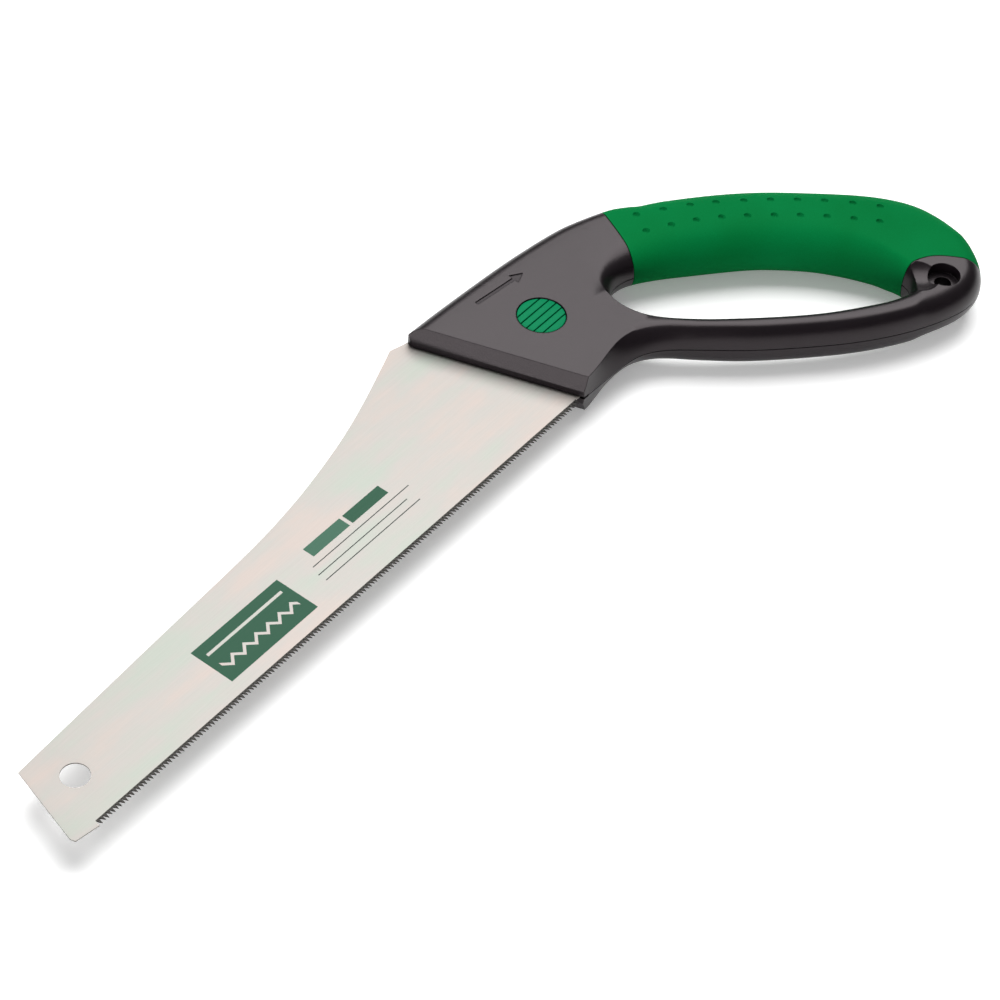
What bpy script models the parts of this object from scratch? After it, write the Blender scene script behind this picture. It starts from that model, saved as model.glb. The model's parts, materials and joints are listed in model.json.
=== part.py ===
"""Pull saw with a closed D handle and a push-button blade change.

The saw lies on its side. X runs along the tooth line from the tip to the handle, Y from the teeth to the
back of the blade, Z up. Two half shells close on the blade's mid plane and clamp its tang. A green rubber
sleeve is moulded round the upper limb of the D. Under the button a leaf spring carries a hook that stands
in a window of the tang: the button's stem pushes the leaf down and the blade slides out along -X.

The drawing below is in millimetres, with the first tooth at (0, 0) and the blade's mid plane at Z = 0.
Objects are written in metres, moved so that the saw stands centred on the origin.
"""

import math

import bmesh
import bpy
from mathutils import Matrix, Vector

MM = 0.001
GAP = 0.3

# Blade: toothed length 254 mm at 17 teeth to the inch
TOOTH_PITCH = 25.4 / 17
TOOTH_COUNT = 170
TOOTH_DEPTH = 2.2
TOOTH_LEAN = 0.72
BLADE_HALF = 0.3
BLADE_TIP = [(-0.45, -1.1), (-10.1, 0.3), (-10.6, 2.2), (-2.0, 33.0)]
BLADE_BACK = [(60, 36.9), (118, 40.4), (143, 43.2), (162, 46.6), (183, 51.6), (201, 57.2), (217, 63.0)]
BLADE_HEEL = [(228.2, 67.2), (238.5, 64.6)]
TANG = [(252, 56.6), (262.8, 53.0), (290.8, 53.0)]
TANG_FOOT = [(290.8, 12.0), (270.8, 12.0), (263.0, 2.8), (258.6, 0.6)]
TIP_HOLE = (9.2, 18.5)
TIP_HOLE_RADIUS = 5.1
BLADE_CLEAR = 0.25
TANG_CLEAR = 0.5

# Handle outline at mid thickness, and the finger hole
NOSE_LOW = (256.8, -0.8)
NOSE_HIGH = (233.9, 66.4)
OUTLINE = [
    (218, -0.9), (234, -0.9), (246, -0.9), (258, -0.9), (272, -1.3), (283.5, -2.0), (291.0, -4.2),
    (298.0, -9.2), (306.2, -18.2), (321, -34.6), (343, -54.6), (360.5, -67.2), (376.5, -75.4),
    (390.5, -79.8), (401.6, -79.4), (410.3, -74.6), (417.5, -66.0), (421.9, -56.5), (424.1, -46.0),
    (423.4, -36.0), (419.0, -25.8), (410.7, -13.8), (400.8, -1.4), (388.8, 12.5), (376.9, 23.9),
    (364.3, 34.1), (351.6, 43.6), (337.5, 52.3), (324.3, 57.7), (311.5, 60.6), (290, 63.2), (270, 64.6),
    (250, 65.6), (236, 66.0), (222, 66.2), (208, 66.2),
]
HOLE = [
    (302, 12.0), (305, 2.2), (315, -11.6), (329.8, -27.2), (347, -42.8), (364.8, -55.2), (374, -60.0),
    (380, -61.6), (384.8, -58.8), (386.6, -53.0), (386, -46.5), (384, -40.3), (378.8, -29.8),
    (372.6, -20.0), (361.5, -6.8), (349.2, 4.0), (334.8, 15.2), (322.5, 22.8), (314.5, 25.6),
    (307.5, 25.0), (303.3, 20.2),
]
OUTLINE_STEP = 7.0
HOLE_STEP = 6.0
BACK_STEP = 12.0
LOOP_START = Vector((303, 14))
LOOP_ALONG = Vector((0.747, -0.665))
LOOP_ACROSS = Vector((0.665, 0.747))
LOOP_LENGTH = 112

# Half thickness and edge rounding of the handle, limb by limb
HEAD_HALF = 8.5
BAR_HALF = 9.3
GRIP_HALF = 12.0
TAIL_DROP = 0.45
HEAD_EDGE = 3.6
CORNER_EDGE = 0.8
WALL_EDGE = 5.6
SPINE_EDGE = 7.0
GRIP_EDGE = 14.0
BAR_EDGE = 5.2
TAIL_EDGE = 8.0
ROUNDNESS = 2.1
BANDS = 4
NOSE_LIP = 3.0
NOSE_BEVEL = 2.8
NOSE_CORNER = 3.0
NOSE_CORNER_CENTRE = Vector((238.2, 63.0, 0))
NOSE_CORNER_TURNS = (162.5, 126.3)

# Rubber sleeve on the grip
SLEEVE = 2.5
CORE_GAP = 0.6
FRONT_SEAM = [(312, 6.0), (319.0, 20.5), (329.5, 40.0), (338.5, 59.5), (346, 76)]
TAIL_SEAM = [
    (425, -90), (411.5, -80), (407.8, -73.0), (405.0, -66.8), (399.8, -59.8), (394.0, -56.0), (387.4, -54.3),
    (382.0, -55.6), (379.0, -58.5),
]
SLEEVE_HOLE_SIDE = [(374, -54), (352, -22), (328, -4)]

# Release button, latch leaf and their screws
BUTTON = (273.6, 32.6)
BUTTON_HOLE = 9.4
BUTTON_RADIUS = 9.1
BUTTON_TOP = 8.3
BUTTON_FLANGE = 10.8
FLANGE_LOW, FLANGE_HIGH = 4.8, 5.8
BUTTON_STEM = 2.2
RIB_COUNT = 5
RIB_PITCH = 3.0
RIB_WIDTH = 1.1
RIB_DEPTH = 0.7
LEAF_HIGH, LEAF_LOW = -1.9, -2.7
LEAF_HALF_WIDTH = 4.0
LEAF_FRONT, LEAF_REAR = 261.5, 298.0
HOOK = (262.9, 266.6)
WINDOW = (262.4, 267.1)
HOOK_HALF_WIDTH = 2.8
LATCH_SCREWS = [(288.0, 32.6), (294.5, 32.6)]
LATCH_SHANK = 1.2
LATCH_HEAD = 2.4
LATCH_TIP = -6.4
LEAF_TRAVEL = 3.9
LEAF_ROOM = 1.2
LEAF_CLAMP = 3.5
STEM_ROOM = 0.4
FLANGE_ROOM = 0.5

# Shell screws, from the underside
SHELL_SCREWS = [(284.0, 7.2), (268.0, 57.0), (306.5, 44.5), (381.5, -70.0)]
SHANK_RADIUS = 1.3
HEAD_RADIUS = 2.9
HEAD_DEEP = 4.5
HEAD_TALL = 2.2
SHELL_SCREW_TIP = 5.5
TIP_ROOM = 0.5

# Hanging hole in the tail
HANG_HOLE = (393.0, -67.8)
HANG_RADIUS = 3.2
HANG_REBATE = 6.1
HANG_FLOOR = 4.0

# Lightening pockets inside the two limbs: start, end, half width
POCKETS = [
    ((345, 34), (357, 24.5), 6.0), ((369, 14.5), (381, 3), 6.0), ((391, -9), (400, -22), 6.0),
    ((268, 13), (268, 14), 3.0), ((308, 55), (320, 52), 3.2), ((296, 54), (280, 58), 2.6),
]
POCKET_DEEP = 6.0
CIRCLE = 28

# Heights for cutters: past the mid plane, and past either face
PAST = 1.0
FAR = 20


def smooth(value, low, high):
    """0 below low, 1 above high, and a soft step between."""
    t = min(1.0, max(0.0, (value - low) / (high - low)))
    return t * t * (3 - 2 * t)


def spline(points, step, closed=True):
    """Points of a Catmull-Rom curve through the given ones, about a step apart."""
    count = len(points)
    result = []
    for i in range(count if closed else count - 1):
        a, b, c, d = (
            Vector(points[(i + k) % count] if closed else points[min(max(i + k, 0), count - 1)])
            for k in (-1, 0, 1, 2)
        )
        pieces = max(1, round((c - b).length / step))
        for k in range(pieces):
            t = k / pieces
            result.append(
                0.5 * (2 * b + (c - a) * t + (2 * a - 5 * b + 4 * c - d) * t**2
                       + (3 * b - a - 3 * c + d) * t**3)
            )
    if not closed:
        result.append(Vector(points[-1]))
    return result


def material(name, colour, roughness, metallic=0.0):
    made = bpy.data.materials.new(name)
    made.use_nodes = True
    shader = made.node_tree.nodes["Principled BSDF"]
    shader.inputs["Base Color"].default_value = (*colour, 1)
    shader.inputs["Roughness"].default_value = roughness
    shader.inputs["Metallic"].default_value = metallic
    return made


def new_object(name, bm):
    """An object holding this bmesh, with its faces turned outwards."""
    bmesh.ops.recalc_face_normals(bm, faces=bm.faces[:])
    mesh = bpy.data.meshes.new(name)
    bm.to_mesh(mesh)
    bm.free()
    obj = bpy.data.objects.new(name, mesh)
    bpy.context.scene.collection.objects.link(obj)
    return obj


def prism(outline, low, high, name="cutter"):
    """The outline raised from low to high."""
    bm = bmesh.new()
    face = bm.faces.new([bm.verts.new((x, y, low)) for x, y in outline])
    raised = bmesh.ops.extrude_face_region(bm, geom=[face])["geom"]
    top = [v for v in raised if isinstance(v, bmesh.types.BMVert)]
    bmesh.ops.translate(bm, verts=top, vec=(0, 0, high - low))
    return new_object(name, bm)


def disc(centre, radius, sides=CIRCLE):
    turns = [math.tau * k / sides for k in range(sides)]
    return [(centre[0] + radius * math.cos(a), centre[1] + radius * math.sin(a)) for a in turns]


def bar(start, end, half_width):
    """Outline of a slot with round ends between two points."""
    a, b = Vector(start), Vector(end)
    turn = math.atan2(b.y - a.y, b.x - a.x)
    ends = []
    for centre, first in ((b, turn - math.pi / 2), (a, turn + math.pi / 2)):
        for k in range(7):
            angle = first + math.pi * k / 6
            ends.append((centre.x + half_width * math.cos(angle), centre.y + half_width * math.sin(angle)))
    return ends


def box(x, y, z):
    """A block between pairs of limits on each axis."""
    return prism([(x[0], y[0]), (x[1], y[0]), (x[1], y[1]), (x[0], y[1])], *z)


def combine(target, other, operation="DIFFERENCE"):
    """Applies a Boolean with another solid, which is then removed."""
    modifier = target.modifiers.new("cut", "BOOLEAN")
    modifier.operation = operation
    modifier.object = other
    graph = bpy.context.evaluated_depsgraph_get()
    mesh = bpy.data.meshes.new_from_object(target.evaluated_get(graph))
    target.modifiers.clear()
    target.data = mesh
    bpy.data.objects.remove(other)
    return target


def limb_place(point):
    """Distance along the D from its front, and across it from the hole's long axis."""
    offset = point - LOOP_START
    return offset.dot(LOOP_ALONG), offset.dot(LOOP_ACROSS)


def half_thickness(point):
    along, across = limb_place(point)
    grip = smooth(across, -2, 30) * smooth(along, -14, 34)
    grip *= 1 - TAIL_DROP * smooth(along, LOOP_LENGTH - 14, LOOP_LENGTH + 14)
    lower = smooth(along, 4, 40) * (1 - smooth(across, -2, 30))
    return HEAD_HALF + (GRIP_HALF - HEAD_HALF) * grip + (BAR_HALF - HEAD_HALF) * lower


def edge_width(point, is_hole):
    """How far the rounding reaches in from the outline."""
    along, across = limb_place(point)
    if is_hole:
        width = HEAD_EDGE + (GRIP_EDGE - HEAD_EDGE) * smooth(across, 4, 26)
        return max(width, HEAD_EDGE + (BAR_EDGE - HEAD_EDGE) * smooth(along, 0, 30))
    wall = CORNER_EDGE + (WALL_EDGE - CORNER_EDGE) * smooth(point.x, 256, 288)
    wall += (BAR_EDGE - wall) * smooth(along, 0, 40)
    spine = SPINE_EDGE * smooth(point.y, 30, 50)
    grip = GRIP_EDGE * smooth(across, 0, 40) * smooth(along, -24, 30)
    tail = TAIL_EDGE * smooth(along, LOOP_LENGTH - 16, LOOP_LENGTH + 4)
    return max(wall, spine, grip, tail)


def edge_profile(point, share, is_hole):
    """Inset and height, as shares, at a share of the way up the edge. The near wall slopes, the rest is round."""
    along, across = limb_place(point)
    angle = share * math.pi / 2
    round_inset = 1 - math.cos(angle) ** (2 / ROUNDNESS)
    round_height = math.sin(angle) ** (2 / ROUNDNESS)
    limb = max(smooth(along, -22, 26), smooth(across, 0, 12) if is_hole else smooth(point.y, 30, 50))
    return share + (round_inset - share) * limb, share + (round_height - share) * limb


def ring(outline, share, side, inset, is_hole):
    """One level of the edge: the outline moved in and up."""
    count = len(outline)
    points = []
    for i, point in enumerate(outline):
        along = outline[(i + 1) % count] - outline[i - 1]
        inward = Vector((-along.y, along.x)).normalized()
        if is_hole:
            inward = -inward
        inwards, upwards = edge_profile(point, share, is_hole)
        width = max(edge_width(point, is_hole) - inset, 0.6)
        place = point + inward * (inset + width * inwards)
        points.append((place.x, place.y, side * upwards * (half_thickness(point) - inset)))
    return points


def add_half(bm, outlines, inset, side):
    """Edge bands and flat face of one side of the handle, between its outline and its hole."""
    rims = []
    for outline, is_hole in outlines:
        levels = []
        for k in range(BANDS + 1):
            levels.append([bm.verts.new(p) for p in ring(outline, k / BANDS, side, inset, is_hole)])
        for low, high in zip(levels, levels[1:]):
            for i in range(len(outline)):
                j = (i + 1) % len(outline)
                bm.faces.new((low[i], low[j], high[j], high[i]))
        top = levels[-1]
        rims += [bm.edges.get((top[i], top[i - 1])) for i in range(len(top))]
    bmesh.ops.triangle_fill(bm, edges=rims, use_beauty=True)


def handle_form(inset):
    """The whole handle as one solid, every surface moved in by inset."""
    bm = bmesh.new()
    outlines = [(spline(OUTLINE, OUTLINE_STEP), False), (spline(HOLE, HOLE_STEP), True)]
    for side in (1, -1):
        add_half(bm, outlines, inset, side)
    bmesh.ops.remove_doubles(bm, verts=bm.verts[:], dist=0.001)
    cut_nose(bm, inset)
    return new_object("form", bm)


def cut_nose(bm, inset):
    """Ends the head on the nose line, with an upright lip, a bevel above and below it and a round back corner."""
    low, high = Vector(NOSE_LOW), Vector(NOSE_HIGH)
    line = (high - low).normalized()
    inward = Vector((line.y, -line.x, 0))
    start = Vector((low.x, low.y, 0)) + inward * inset
    rise = HEAD_HALF - NOSE_LIP
    planes = [(start, -inward)]
    for side in (1, -1):
        point = start + Vector((0, 0, side * NOSE_LIP))
        planes.append((point, Vector((-inward.x * rise, -inward.y * rise, side * NOSE_BEVEL))))
    for turn in NOSE_CORNER_TURNS:
        normal = Vector((math.cos(math.radians(turn)), math.sin(math.radians(turn)), 0))
        planes.append((NOSE_CORNER_CENTRE + normal * (NOSE_CORNER - inset), normal))
    for point, normal in planes:
        geometry = bm.verts[:] + bm.edges[:] + bm.faces[:]
        cut = bmesh.ops.bisect_plane(bm, geom=geometry, plane_co=point, plane_no=normal, clear_outer=True)
        edges = [e for e in cut["geom_cut"] if isinstance(e, bmesh.types.BMEdge)]
        bmesh.ops.contextual_create(bm, geom=edges)


def grip_zone(gap):
    """Prism that holds the sleeve, its two seams moved out by a gap."""
    front = [(x - gap, y) for x, y in FRONT_SEAM]
    tail = [(x - gap * 0.7, y - gap * 0.7) for x, y in spline(TAIL_SEAM, 4, closed=False)]
    outline = front + [(440, 76), (440, -90)] + tail + SLEEVE_HOLE_SIDE
    return prism(outline, -FAR, FAR)


def blade_outline():
    """Teeth along the lower edge, leaning to the handle, then the tang and the back."""
    points = []
    for k in range(TOOTH_COUNT):
        points.append((k * TOOTH_PITCH, TOOTH_DEPTH / 2))
        points.append(((k + TOOTH_LEAN) * TOOTH_PITCH, -TOOTH_DEPTH / 2))
    points.append((TOOTH_COUNT * TOOTH_PITCH, TOOTH_DEPTH / 2))
    points += TANG_FOOT[::-1]
    slot = BUTTON_STEM + STEM_ROOM
    slot_end = BUTTON[0] - slot - STEM_ROOM
    points += [(TANG[-1][0], BUTTON[1] - slot), (slot_end, BUTTON[1] - slot)]
    points += [(slot_end, BUTTON[1] + slot), (TANG[-1][0], BUTTON[1] + slot)]
    points += TANG[::-1] + BLADE_HEEL[::-1]
    back = spline([BLADE_TIP[-1]] + BLADE_BACK + [BLADE_HEEL[0]], BACK_STEP, closed=False)
    points += [tuple(p) for p in back[-2::-1]] + BLADE_TIP[-2::-1]
    return points


def blade():
    made = prism(blade_outline(), -BLADE_HALF, BLADE_HALF, "blade")
    combine(made, prism(disc(TIP_HOLE, TIP_HOLE_RADIUS, 32), -PAST, PAST))
    width = HOOK_HALF_WIDTH + TANG_CLEAR
    return combine(made, box(WINDOW, (BUTTON[1] - width, BUTTON[1] + width), (-PAST, PAST)))


def tang_pocket():
    """Room for the tang, open at the nose and at the corner where the teeth come out."""
    foot = [(x + TANG_CLEAR, y - TANG_CLEAR) for x, y in TANG_FOOT[:3]]
    top = [(x + TANG_CLEAR, y + TANG_CLEAR) for x, y in TANG[::-1] + BLADE_HEEL[::-1]]
    return [(225, -6), (259.4, -6), (259.4, 0.0)] + foot[::-1] + top + [(225, top[-1][1])]


def pierce(shell, side):
    """Everything cut into one half shell. side is 1 for the upper shell, -1 for the lower."""
    combine(shell, prism(tang_pocket(), *sorted((side * (BLADE_HALF + BLADE_CLEAR), -side * PAST))))
    for start, end, half_width in POCKETS:
        combine(shell, prism(bar(start, end, half_width), *sorted((side * POCKET_DEEP, -side * PAST))))
    combine(shell, prism(disc(HANG_HOLE, HANG_RADIUS), -FAR, FAR))
    combine(shell, prism(disc(HANG_HOLE, HANG_REBATE), *sorted((side * HANG_FLOOR, side * FAR))))


def half(form, side):
    """One half of the handle form, clear of the other by half a gap."""
    limits = sorted((side * GAP / 2, side * FAR))
    return combine(form, box((200, 460), (-120, 120), limits), "INTERSECT")


def shell_form():
    """Handle with its grip limb reduced to the core that the sleeve covers."""
    form = combine(handle_form(0), grip_zone(GAP))
    return combine(form, handle_form(SLEEVE + CORE_GAP), "UNION")


def upper_shell():
    shell = half(shell_form(), 1)
    pierce(shell, 1)
    combine(shell, prism(disc(BUTTON, BUTTON_HOLE, 40), -PAST, FAR))
    combine(shell, prism(disc(BUTTON, BUTTON_FLANGE + FLANGE_ROOM, 40), -PAST, FLANGE_HIGH + GAP))
    for centre in SHELL_SCREWS:
        combine(shell, prism(disc(centre, SHANK_RADIUS + GAP, 16), -PAST, SHELL_SCREW_TIP + TIP_ROOM))
    shell.name = "upper_shell"
    return shell


def lower_shell():
    shell = half(shell_form(), -1)
    pierce(shell, -1)
    width = LEAF_HALF_WIDTH + LEAF_ROOM
    side = (BUTTON[1] - width, BUTTON[1] + width)
    root = LATCH_SCREWS[0][0] - LEAF_CLAMP
    combine(shell, box((LEAF_FRONT - 1, root), side, (LEAF_LOW - LEAF_TRAVEL, PAST)))
    combine(shell, box((root - 1, LEAF_REAR + 1), side, (LEAF_LOW - GAP, PAST)))
    for centre in LATCH_SCREWS:
        combine(shell, prism(disc(centre, LATCH_SHANK + GAP, 16), LATCH_TIP - TIP_ROOM, PAST))
    for centre in SHELL_SCREWS:
        combine(shell, prism(disc(centre, SHANK_RADIUS + GAP, 16), -FAR, PAST))
        combine(shell, prism(disc(centre, HEAD_RADIUS + GAP, 24), -FAR, -HEAD_DEEP))
    shell.name = "lower_shell"
    return shell


def grip_sleeve():
    sleeve = combine(handle_form(0), grip_zone(0), "INTERSECT")
    combine(sleeve, handle_form(SLEEVE))
    sleeve.name = "grip_sleeve"
    return sleeve


def release_button():
    """Ribbed cap, the flange that keeps it in, and the stem that reaches the latch leaf."""
    cap = prism(disc(BUTTON, BUTTON_RADIUS, 40), FLANGE_LOW, BUTTON_TOP, "release_button")
    for k in range(RIB_COUNT):
        y = BUTTON[1] + (k - (RIB_COUNT - 1) / 2) * RIB_PITCH
        limits = (y - RIB_WIDTH / 2, y + RIB_WIDTH / 2)
        combine(cap, box((BUTTON[0] - 12, BUTTON[0] + 12), limits, (BUTTON_TOP - RIB_DEPTH, BUTTON_TOP + 1)))
    combine(cap, prism(disc(BUTTON, BUTTON_FLANGE, 40), FLANGE_LOW, FLANGE_HIGH), "UNION")
    return combine(cap, prism(disc(BUTTON, BUTTON_STEM, 20), LEAF_HIGH + GAP, FLANGE_LOW + 0.5), "UNION")


def latch_spring():
    """Leaf with a hook at its free end and two holes at its root."""
    y = (BUTTON[1] - LEAF_HALF_WIDTH, BUTTON[1] + LEAF_HALF_WIDTH)
    leaf = box((LEAF_FRONT, LEAF_REAR), y, (LEAF_LOW, LEAF_HIGH))
    hook = (BUTTON[1] - HOOK_HALF_WIDTH, BUTTON[1] + HOOK_HALF_WIDTH)
    combine(leaf, box(HOOK, hook, (LEAF_LOW + 0.2, BLADE_HALF)), "UNION")
    for centre in LATCH_SCREWS:
        combine(leaf, prism(disc(centre, LATCH_SHANK + GAP, 16), LEAF_LOW - PAST, LEAF_HIGH + PAST))
    leaf.name = "latch_spring"
    return leaf


def screw(name, centre, shank, head, levels):
    """Round head and plain shank, turned about one axis. levels are head end, shoulder and tip."""
    end, shoulder, tip = levels
    bm = bmesh.new()
    profile = [(0, end), (head * 0.8, end), (head, end + (shoulder - end) * 0.4), (head, shoulder)]
    profile += [(shank, shoulder), (shank, tip - (tip - shoulder) * 0.12), (shank * 0.4, tip), (0, tip)]
    verts = [bm.verts.new((r, 0, z)) for r, z in profile]
    edges = [bm.edges.new(pair) for pair in zip(verts, verts[1:])]
    bmesh.ops.spin(bm, geom=verts + edges, axis=(0, 0, 1), cent=(0, 0, 0), angle=math.tau, steps=20,
                   use_merge=True)
    bmesh.ops.remove_doubles(bm, verts=bm.verts[:], dist=0.001)
    bmesh.ops.translate(bm, verts=bm.verts[:], vec=(*centre, 0))
    return new_object(name, bm)


def screws():
    made = []
    for number, centre in enumerate(SHELL_SCREWS, 1):
        levels = (-HEAD_DEEP - HEAD_TALL, -HEAD_DEEP - GAP, SHELL_SCREW_TIP)
        made.append(screw(f"shell_screw_{number}", centre, SHANK_RADIUS, HEAD_RADIUS, levels))
    for number, centre in enumerate(LATCH_SCREWS, 1):
        levels = (LEAF_HIGH + GAP + 1.0, LEAF_HIGH + GAP, LATCH_TIP)
        made.append(screw(f"latch_screw_{number}", centre, LATCH_SHANK, LATCH_HEAD, levels))
    return made


def centre_of_outline():
    """Middle of the whole saw in plan, blade and handle together."""
    handle = spline(OUTLINE, OUTLINE_STEP)
    x = [p.x for p in handle] + [corner[0] for corner in BLADE_TIP]
    y = [p.y for p in handle if p.x > NOSE_HIGH[0]] + [BLADE_HEEL[0][1]]
    return Vector(((min(x) + max(x)) / 2, (min(y) + max(y)) / 2, -GRIP_HALF))


def place(obj, finish, origin=(0, 0, 0)):
    """Gives a finished solid its material and its origin, in metres, in the saw's own frame."""
    start = Vector(origin)
    obj.data.transform(Matrix.Translation(-start))
    obj.data.transform(Matrix.Scale(MM, 4))
    obj.location = (start - centre_of_outline()) * MM
    obj.data.materials.clear()
    obj.data.materials.append(finish)
    obj.data.shade_smooth()
    obj.data.set_sharp_from_angle(angle=math.radians(35))


def build():
    for obj in list(bpy.data.objects):
        bpy.data.objects.remove(obj)
    steel = material("blade_steel", (0.80, 0.77, 0.72), 0.3, 1.0)
    black = material("black_abs", (0.035, 0.032, 0.035), 0.45)
    rubber = material("green_rubber", (0.01, 0.22, 0.07), 0.6)
    green = material("green_nylon", (0.02, 0.36, 0.15), 0.4)
    spring = material("spring_steel", (0.45, 0.45, 0.47), 0.35, 1.0)
    zinc = material("zinc_steel", (0.62, 0.62, 0.63), 0.35, 1.0)
    place(blade(), steel)
    place(upper_shell(), black)
    place(lower_shell(), black)
    place(grip_sleeve(), rubber)
    place(release_button(), green, (*BUTTON, BUTTON_TOP))
    place(latch_spring(), spring)
    for fastener in screws():
        place(fastener, zinc)


build()
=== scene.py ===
# %% [markdown]
# # A pull saw with a closed D handle
# The saw lies on its side. Its mechanical model is already packed: a thin blade, two half shells that clamp
# the blade's tang, a rubber sleeve, a push button and its latch. This file gives that model its real
# surfaces. Pieces that show are modelled again with finer curves and take the place of the plain ones,
# and pieces that stay hidden inside the handle keep their shape and get a finish.

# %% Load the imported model
import json
import math

import bmesh
import bpy
from mathutils import Matrix, Vector

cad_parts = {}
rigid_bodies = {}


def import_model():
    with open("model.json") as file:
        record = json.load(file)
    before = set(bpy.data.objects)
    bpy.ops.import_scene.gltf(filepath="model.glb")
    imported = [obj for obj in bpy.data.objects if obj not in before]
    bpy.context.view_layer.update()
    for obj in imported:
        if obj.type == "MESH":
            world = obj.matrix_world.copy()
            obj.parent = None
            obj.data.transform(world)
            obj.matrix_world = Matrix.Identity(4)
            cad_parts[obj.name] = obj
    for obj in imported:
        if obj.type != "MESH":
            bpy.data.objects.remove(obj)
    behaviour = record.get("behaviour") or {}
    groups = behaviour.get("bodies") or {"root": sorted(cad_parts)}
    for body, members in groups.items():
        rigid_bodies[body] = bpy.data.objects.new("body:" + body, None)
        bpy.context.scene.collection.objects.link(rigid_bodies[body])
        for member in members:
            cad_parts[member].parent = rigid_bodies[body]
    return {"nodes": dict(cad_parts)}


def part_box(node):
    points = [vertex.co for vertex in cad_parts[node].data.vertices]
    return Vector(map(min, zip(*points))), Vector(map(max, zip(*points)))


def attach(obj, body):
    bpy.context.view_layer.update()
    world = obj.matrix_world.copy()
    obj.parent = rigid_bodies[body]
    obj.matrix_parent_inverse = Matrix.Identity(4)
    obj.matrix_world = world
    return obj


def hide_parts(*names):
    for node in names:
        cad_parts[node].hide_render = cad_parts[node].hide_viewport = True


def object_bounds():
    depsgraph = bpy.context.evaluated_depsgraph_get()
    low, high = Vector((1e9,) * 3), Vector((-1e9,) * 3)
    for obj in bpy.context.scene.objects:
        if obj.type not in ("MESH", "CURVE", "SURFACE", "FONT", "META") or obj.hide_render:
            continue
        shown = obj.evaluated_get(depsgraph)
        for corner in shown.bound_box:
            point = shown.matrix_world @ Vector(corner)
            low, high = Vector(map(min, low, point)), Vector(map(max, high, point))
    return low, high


for leftover in list(bpy.data.objects):
    bpy.data.objects.remove(leftover)
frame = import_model()
cad_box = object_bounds()
print("nodes:", ", ".join(sorted(frame["nodes"])))

# %% [markdown]
# ## One drawing, in millimetres
# A saw is drawn from its tooth line. Here the first tooth is at (0, 0), X runs along the teeth to the
# handle, Y runs to the back of the blade, and Z = 0 is the middle of the blade's thickness. The packed
# model is in metres with another origin, so one matrix takes the drawing there. It is worked out from
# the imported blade, so the drawing can't drift away from it.

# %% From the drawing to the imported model
MM = 0.001
TIP_AHEAD = 10.6
TOOTH_DEPTH = 2.2
blade_low, blade_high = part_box("blade")
saw_zero = Vector((
    blade_low.x + TIP_AHEAD * MM,
    blade_low.y + TOOTH_DEPTH / 2 * MM,
    (blade_low.z + blade_high.z) / 2,
))
TO_MODEL = Matrix.Translation(saw_zero) @ Matrix.Scale(MM, 4)
print("first tooth at", [round(v / MM, 2) for v in saw_zero], "mm")

# %% [markdown]
# ## Tools for surfaces
# A mesh object is made once its shape is finished in the drawing. Doubles are merged, the faces are turned
# outwards, and only then is it moved, so the object itself stays at the origin, unturned and unscaled.

# %% Turn a finished shape into a piece
def make_mesh(name, bm):
    """An object in the drawing's millimetres that holds this shape."""
    bmesh.ops.remove_doubles(bm, verts=bm.verts[:], dist=0.004)
    bmesh.ops.recalc_face_normals(bm, faces=bm.faces[:])
    mesh = bpy.data.meshes.new(name)
    bm.to_mesh(mesh)
    bm.free()
    obj = bpy.data.objects.new(name, mesh)
    bpy.context.scene.collection.objects.link(obj)
    return obj


def finish_piece(obj, body, node, finishes, sharp_deg=32):
    """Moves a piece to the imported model, gives it its finishes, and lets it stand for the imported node."""
    obj.data.transform(TO_MODEL)
    obj.data.materials.clear()
    for finish in finishes:
        obj.data.materials.append(finish)
    obj.data.shade_smooth()
    obj.data.set_sharp_from_angle(angle=math.radians(sharp_deg))
    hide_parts(node)
    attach(obj, body)
    print(obj.name, len(obj.data.polygons), "faces")


# %% Cut and join solids
def combine(target, other, operation="DIFFERENCE"):
    """Applies a Boolean with another solid, which is then removed."""
    modifier = target.modifiers.new("cut", "BOOLEAN")
    modifier.operation = operation
    modifier.object = other
    graph = bpy.context.evaluated_depsgraph_get()
    mesh = bpy.data.meshes.new_from_object(target.evaluated_get(graph))
    target.modifiers.clear()
    target.data = mesh
    bpy.data.objects.remove(other)
    return target


# %% Smooth curves through a few points
def spline(points, step, closed=True):
    """Points of a Catmull-Rom curve through the given ones, about a step apart."""
    count = len(points)
    result = []
    for i in range(count if closed else count - 1):
        a, b, c, d = (
            Vector(points[(i + k) % count] if closed else points[min(max(i + k, 0), count - 1)])
            for k in (-1, 0, 1, 2)
        )
        pieces = max(1, round((c - b).length / step))
        for k in range(pieces):
            t = k / pieces
            result.append(
                0.5 * (2 * b + (c - a) * t + (2 * a - 5 * b + 4 * c - d) * t**2
                       + (3 * b - a - 3 * c + d) * t**3)
            )
    if not closed:
        result.append(Vector(points[-1]))
    return result


def smooth(value, low, high):
    """0 below low, 1 above high, and a soft step between."""
    t = min(1.0, max(0.0, (value - low) / (high - low)))
    return t * t * (3 - 2 * t)


# %% Upright prisms, used as cutters and as sheet metal
def loop_of(bm, points, z=0.0):
    """A circle's vertices laid on the points, joined by its edges."""
    made = bmesh.ops.create_circle(bm, cap_ends=False, radius=1, segments=len(points))["verts"]
    for vert, (x, y) in zip(made, points):
        vert.co = (x, y, z)
    return made


def prism_mesh(bm, outline, low, high):
    """Adds the outline, filled and raised from low to high."""
    verts = loop_of(bm, outline, low)
    edges = list({e for v in verts for e in v.link_edges})
    face = bmesh.ops.contextual_create(bm, geom=edges)["faces"]
    raised = bmesh.ops.extrude_face_region(bm, geom=face)["geom"]
    top = [v for v in raised if isinstance(v, bmesh.types.BMVert)]
    bmesh.ops.translate(bm, verts=top, vec=(0, 0, high - low))


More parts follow.
